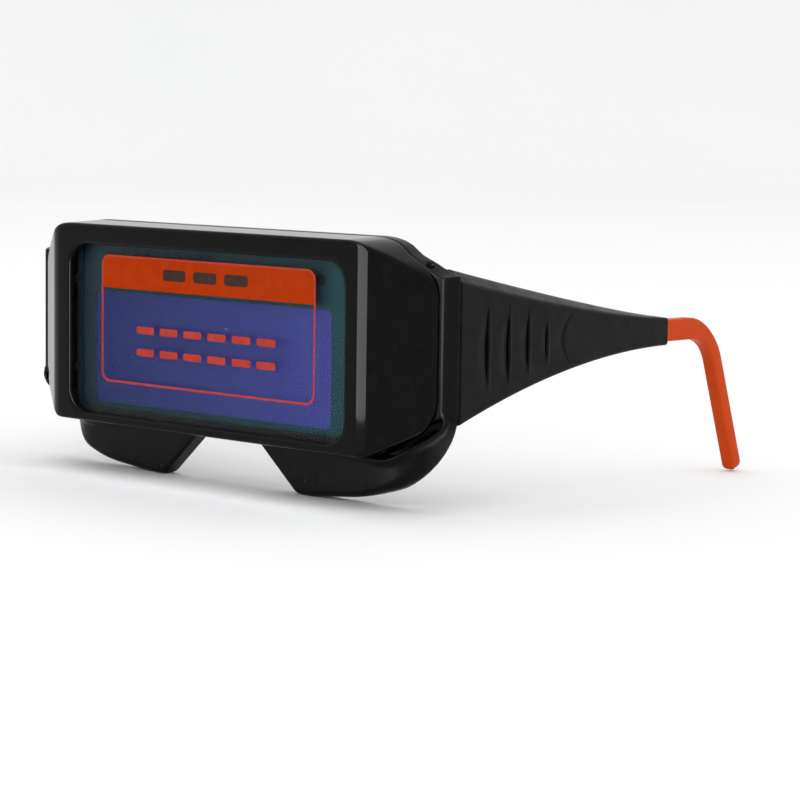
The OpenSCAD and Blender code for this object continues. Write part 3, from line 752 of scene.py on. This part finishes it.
def scooped(y, z):
    """Depth of the scoops in front of the louvres and of the curved step, below the outer face."""
    dip = 0
    for at, low, high, wide, half in louvres:
        middle, reach = (low + high) / 2 - 0.8, (high - low) / 2
        bow = np.clip(1 - ((z - middle) / reach) ** 2, 0, 1)
        along = np.clip((y - (at - wide * bow)) / np.maximum(wide * bow, 0.3), 0, 1)
        fade = np.clip((at + half * 0.6 - y) / 0.35, 0, 1)
        dip = dip + 0.75 * bow * along ** 2 * fade * (wide / 5.0) ** 0.5
        ridge = np.exp(-((np.abs(y - at) - half * bow - 0.35) / 0.3) ** 2)
        dip = dip - 0.22 * ridge * np.clip(bow * 3, 0, 1)
    arc = np.hypot(y - ARC_Y, z - ARC_Z) - ARC_R
    reach = np.clip(1 - np.abs(z - 1.4) / 6.5, 0, 1) ** 0.5
    ahead = np.clip((64.5 - y) / 3, 0, 1)
    return dip + 0.55 * np.exp(-np.maximum(arc, 0) / 2.2) * np.clip(arc / 0.35 + 0.5, 0, 1) * reach * ahead


def temple_shape(x, y, z):
    """A tapering shell with louvres and a bevel outside, a pocket inside, a knuckle and a sleeve."""
    outer = x - SIDE_X + scooped(y, z)
    rise = crest(y) - bevel_line(y)
    slope = ((x - SIDE_X) * rise + (z - bevel_line(y)) * BEVEL_IN) / np.hypot(rise, BEVEL_IN)
    fall = keel(y + 0.5) - keel(y - 0.5)
    bottom = (keel(y) - z) / np.sqrt(1 + fall * fall)
    drop = crest(y + 0.5) - crest(y - 0.5)
    top = (z - crest(y)) / np.sqrt(1 + drop * drop)
    body = cut(cut(outer, slope, 0.7), bottom, 0.9)
    body = cut(body, cut(top, TEMPLE_IN - x, 0.5), 0.6)
    body = cut(body, between(y, TEMPLE_Y, SLEEVE_END), 0.3)
    for at, low, high, wide, half in louvres:
        middle, reach = (low + high) / 2, (high - low) / 2
        bow = half * np.clip(1 - ((z - middle) / reach) ** 2, -1, 1)
        slit = np.maximum(np.abs(y - at) - bow, SIDE_X - 1.9 - x)
        body = carve(body, slit, 0.15)
    body = carve(body, np.maximum(polygon(y, z, pocket), x - SIDE_X + 2.4), 0.3)
    pin = np.hypot(x - HINGE_X, y - HINGE_Y)
    arm = np.maximum(between(x, HINGE_X, TEMPLE_IN + 1), np.abs(y - HINGE_Y) - KNUCKLE_R)
    body = join(body, cut(np.minimum(pin - KNUCKLE_R, arm), np.abs(z) - 7.75, 0.4), 0.4)
    body = carve(body, pin - 1.14, 0.1)
    # Channel that the ear tip's stem slides in
    channel = np.maximum(np.abs(x - 76.8) - 2.1, np.abs(z - 0.8) - 3.2)
    return carve(body, np.maximum(channel, 60 - y), 0.2)


temple = dress(surface("temple_left_shell", temple_shape, (66, 14.6, -20), (80.2, 102.5, 22), 0.3), satin)
for side, obj in (("left", temple), ("right", other_side(temple, "temple_right_shell"))):
    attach(obj, "temple_" + side)
    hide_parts("temple_shell_" + side)

# ---------- ear tips ----------

STEM_Y, STEM_Z, STEM_H, HOOK_W, TIP_T = 68.0, 0.8, 6.1, 4.4, 3.9
BEND_Y, BEND_R, BEND_ANGLE = 113.0, 14.0, math.radians(70.6)
TIP_X = 74.85 + TIP_T / 2


def ear_tip():
    """A rounded rectangle swept along the stem, round the bend and down the leg to a rounded end."""
    steps = 22
    corner, per_side = 0.7, 5
    end_l = 2.2  # length of the rounded end
    lift = 0.55  # how far above the CAD tip's lowest point the leg's middle line ends
    centre = np.array([BEND_Y, STEM_Z - BEND_R])
    lead = np.array([math.cos(BEND_ANGLE), -math.sin(BEND_ANGLE)])
    leg_start = centre + BEND_R * np.array([math.sin(BEND_ANGLE), math.cos(BEND_ANGLE)])
    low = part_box("ear_tip_left")[0].z / MM - FACE_Z / MM
    leg = (leg_start[1] - low - lift) / math.sin(BEND_ANGLE)
    path = [(np.array([y, STEM_Z]), 0.0, STEM_H, 1.0)
            for y in np.linspace(STEM_Y, BEND_Y, 14)[:-1]]
    for i in range(steps + 1):
        share = i / steps
        a = BEND_ANGLE * share
        ease = min(1, 1.4 * share)
        width = STEM_H + (HOOK_W - STEM_H) * ease * ease * (3 - 2 * ease)
        path.append((centre + BEND_R * np.array([math.sin(a), math.cos(a)]), a, width, 1.0))
    for share in np.linspace(0, 1, 9)[1:-1]:
        path.append((leg_start + lead * (leg - end_l) * share, BEND_ANGLE, HOOK_W, 1.0))
    for t in np.linspace(0, 1, 9):
        grow = math.sqrt(max(0, 1 - t ** 2.4))
        path.append((leg_start + lead * (leg - end_l + end_l * t), BEND_ANGLE, HOOK_W, max(grow, 0.12)))
    points, faces = [], []
    ring = 4 * (per_side + 1)
    for at, a, width, size in path:
        across = np.array([math.sin(a), math.cos(a)])
        for q in range(4):
            for k in range(per_side + 1):
                turn = math.radians(90 * (q + k / per_side))
                sx = 1 if q in (0, 3) else -1
                sw = 1 if q in (0, 1) else -1
                ex = (TIP_T / 2 - corner) * sx + corner * math.cos(turn)
                ew = (width / 2 - corner) * sw + corner * math.sin(turn)
                yz = at + across * ew * size
                points.append((TIP_X + ex * size, yz[0], yz[1]))
    for i in range(len(path) - 1):
        for k in range(ring):
            a, b = i * ring + k, i * ring + (k + 1) % ring
            faces.append((a, b, b + ring, a + ring))
    faces.append(tuple(range(ring))[::-1])
    faces.append(tuple(range((len(path) - 1) * ring, len(path) * ring)))
    return face_outwards(piece("ear_tip_left_hook", to_row(points), faces))


tip = dress(ear_tip(), orange)
for side, obj in (("left", tip), ("right", other_side(tip, "ear_tip_right_hook"))):
    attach(obj, "ear_tip_" + side)
    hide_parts("ear_tip_" + side)

# ---------- nose bridge and pads ----------


PAD_AT, PAD_TILT = (11, 22, -19), math.radians(24)


def pad_frame(x, y, z):
    """Place in a nose pad's own tilted frame."""
    c, s = math.cos(PAD_TILT), math.sin(PAD_TILT)
    u, v, w = x - PAD_AT[0], y - PAD_AT[1], z - PAD_AT[2]
    return u * c + w * s, v, -u * s + w * c


def pad_shape(x, y, z):
    """A dished oval pad."""
    half_w, half_h, half_t = 4.1, 7.6, 1.25
    u, v, w = pad_frame(x, y, z)
    flat = np.hypot(v / half_w, w / half_h)
    return cut((flat - 1) * half_w, np.abs(u + 0.25 * flat * flat) - half_t, 1.1)


def bridge_shape(x, y, z):
    """A bar with a bent stalk and a disc behind each nose pad."""
    x = np.abs(x)
    bar = cut(x - 19, cut(between(y, 15.8, 17.8), between(z, -27.6, -23.6), 0.6), 0.6)
    u, v, w = pad_frame(x, y, z)
    foot, elbow, tip_end = (18, 16.8, -25.4), (14.6, 20.6, -19.2), (13.4, 22, -18.2)
    stalk = rod((x, y, z), foot, elbow, 1.25, 0.95)
    stalk = join(stalk, rod((x, y, z), elbow, tip_end, 0.95, 0.8), 0.4)
    disc = cut(np.hypot(v, w) - 2.2, between(u, 1.75, 2.65), 0.3)
    return np.maximum(join(bar, join(stalk, disc, 0.5), 0.8), 1.72 - u)


pad = dress(surface("nose_pad_left_silicone", pad_shape, (6, 16.8, -28), (16, 27.2, -10), 0.3), rubber)
for side, obj in (("left", pad), ("right", other_side(pad, "nose_pad_right_silicone"))):
    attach(obj, "frame")
    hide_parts("nose_pad_" + side)
bridge = dress(surface("nose_bridge_bar", bridge_shape, (-20, 15, -28.4), (20, 24.8, -15), 0.3), inner)
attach(bridge, "frame")
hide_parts("nose_bridge")

# ---------- printing on the film ----------

STICKER_W, STICKER_H, STICKER_Z, STICKER_R = 82.9, 35.3, 1.7, 3
BAND_H, BORDER, INK_T = 9.1, 0.6, 0.05
PRINT_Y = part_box("film_print")[0].y


def flat_piece(name, plates, look, depth=0.0):
    """Thin plates from (outline, hole) pairs, set forwards by depth.

    A hole has as many points as its outline.
    """
    points, faces = [], []
    for outside, hole in plates:
        n, start = len(outside), len(points)
        rings = [outside] + ([hole] if hole is not None else [])
        for layer in (0, INK_T):
            for ring in rings:
                points += [(x, layer - depth, z) for x, z in ring]
        m = n * len(rings)
        for k in range(n):
            j = (k + 1) % n
            a, b = start + k, start + j
            faces.append((a, b, b + m, a + m))
            if hole is not None:
                faces.append((a + n, a + n + m, b + n + m, b + n))
                faces.append((a, a + n, b + n, b))
                faces.append((a + m, b + m, b + n + m, a + n + m))
        if hole is None:
            faces.append(tuple(range(start, start + n))[::-1])
            faces.append(tuple(range(start + m, start + m + n)))
    rows = to_row(points)
    rows[:, 1] += PRINT_Y - FACE_Y
    obj = face_outwards(piece(name, rows, faces))
    obj.data.polygons.foreach_set("use_smooth", [False] * len(obj.data.polygons))
    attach(obj, "frame")
    return dress(obj, look)


def block(x, z, w, h, r):
    """Outline of a rounded rectangle with its middle at (x, z)."""
    x0, x1, z0, z1 = x - w / 2, x + w / 2, z - h / 2, z + h / 2
    return rounded([(x0, z0, r), (x1, z0, r), (x1, z1, r), (x0, z1, r)], 5)


def dashes(z, count, w, h, gap):
    """A centred row of equal plain bars, which stands for no word."""
    return [(block((w + gap) * (i - (count - 1) / 2), z, w, h, h * 0.32), None) for i in range(count)]


band_top = STICKER_Z + STICKER_H / 2
band_z = band_top - BAND_H / 2
band_outline = rounded([
    (-STICKER_W / 2, band_top - BAND_H, 0), (STICKER_W / 2, band_top - BAND_H, 0),
    (STICKER_W / 2, band_top, STICKER_R), (-STICKER_W / 2, band_top, STICKER_R)], 8)
printed_band = flat_piece("print_band", [(band_outline, None)], ink)
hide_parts("film_print")

border_out = block(0, STICKER_Z, STICKER_W, STICKER_H, STICKER_R)
border_in = block(0, STICKER_Z, STICKER_W - 2 * BORDER, STICKER_H - 2 * BORDER, STICKER_R - BORDER)
marks = [(border_out, border_in)]
for row_z in (-0.8, -6.9):
    marks += dashes(row_z, 6, 7.0, 2.0, 2.4)
printed_lines = flat_piece("print_lines", marks, line_ink, 0.01)

title = dashes(band_z, 3, 9.0, 3.0, 3.0)
printed_title = flat_piece("print_title", title, dark_ink, 0.04)

# ---------- stage, light and camera ----------


def stage_floor():
    """A round pale floor whose rim sweeps up far from the goggles."""
    flat_r, sweep_r, n = 2.2, 1.1, 96
    rings = [(r, 0.0) for r in (0.05, 0.5, 1.2, flat_r)]
    rings += [(flat_r + sweep_r * math.sin(a), sweep_r - sweep_r * math.cos(a))
              for a in np.linspace(0.12, 1.45, 14)]
    points, faces = [(0, 0, 0)], []
    for r, z in rings:
        points += [(r * math.cos(t), r * math.sin(t), z) for t in np.arange(n) * 2 * math.pi / n]
    for k in range(n):
        faces.append((0, 1 + k, 1 + (k + 1) % n))
    for i in range(len(rings) - 1):
        for k in range(n):
            a, b = 1 + i * n + k, 1 + i * n + (k + 1) % n
            faces.append((a, a + n, b + n, b))
    floor = piece("floor", points, faces)
    look = Look("pale_floor", (0.86, 0.86, 0.86), 0.85, Specular_IOR_Level=0.1)
    look.mottled(look.noise(3, 3), 0.3, 0.7, (0.85, 0.855, 0.86), (0.87, 0.87, 0.87))
    dress(floor, look)


stage_floor()

world = bpy.data.worlds.new("studio")
bpy.context.scene.world = world
world.use_nodes = True
sky = world.node_tree.nodes["Background"]
sky.inputs["Color"].default_value = (1, 1, 1, 1)
sky.inputs["Strength"].default_value = 1.08


def softbox(name, at, aim, width, height, radiance):
    """An area light of the given radiance."""
    data = bpy.data.lights.new(name, "AREA")
    data.shape = "RECTANGLE"
    data.size, data.size_y = width, height
    data.energy = radiance * math.pi * width * height
    obj = bpy.data.objects.new(name, data)
    bpy.context.scene.collection.objects.link(obj)
    obj.location = at
    obj.rotation_mode = "QUATERNION"
    obj.rotation_quaternion = (Vector(aim) - Vector(at)).to_track_quat("-Z", "Y")
    obj.visible_camera = False
    return obj


softbox("overhead", (-0.1, -0.25, 1.6), (0, 0, 0), 1.5, 1.5, 0.6)
# Only glossy reflections show this panel, as the bright line up the front corner
corner_panel = softbox("corner_panel", (0.022, -0.24, 0.12), (0.0625, -0.069, 0.1), 0.125, 0.24, 11.5)
corner_panel.visible_diffuse = False

# Camera: turned YAW to the left of straight back, PITCH down and ROLL, as the photograph was taken
YAW, PITCH, ROLL = math.radians(42.46), math.radians(6.39), math.radians(0.83)
CAMERA_AT, LENS = (0.5156, -0.5534, 0.1035), 119.2
camera_data = bpy.data.cameras.new("camera")
camera_data.sensor_width = 36
camera_data.lens = LENS
camera = bpy.data.objects.new("camera", camera_data)
bpy.context.scene.collection.objects.link(camera)
forward = Vector((-math.sin(YAW) * math.cos(PITCH), math.cos(YAW) * math.cos(PITCH), -math.sin(PITCH)))
right = Vector((math.cos(YAW), math.sin(YAW), 0))
up = right.cross(forward)
rolled_right = math.cos(ROLL) * right + math.sin(ROLL) * up
rolled_up = -math.sin(ROLL) * right + math.cos(ROLL) * up
turn = Matrix((rolled_right, rolled_up, -forward)).transposed()
camera.matrix_world = Matrix.Translation(CAMERA_AT) @ turn.to_4x4()
bpy.context.scene.camera = camera
bpy.context.scene.view_settings.view_transform = "Standard"
# The light valve is seen through six clear faces and lit through them again, so a path crosses twelve
bpy.context.scene.cycles.transparent_max_bounces = 24

bpy.context.view_layer.update()
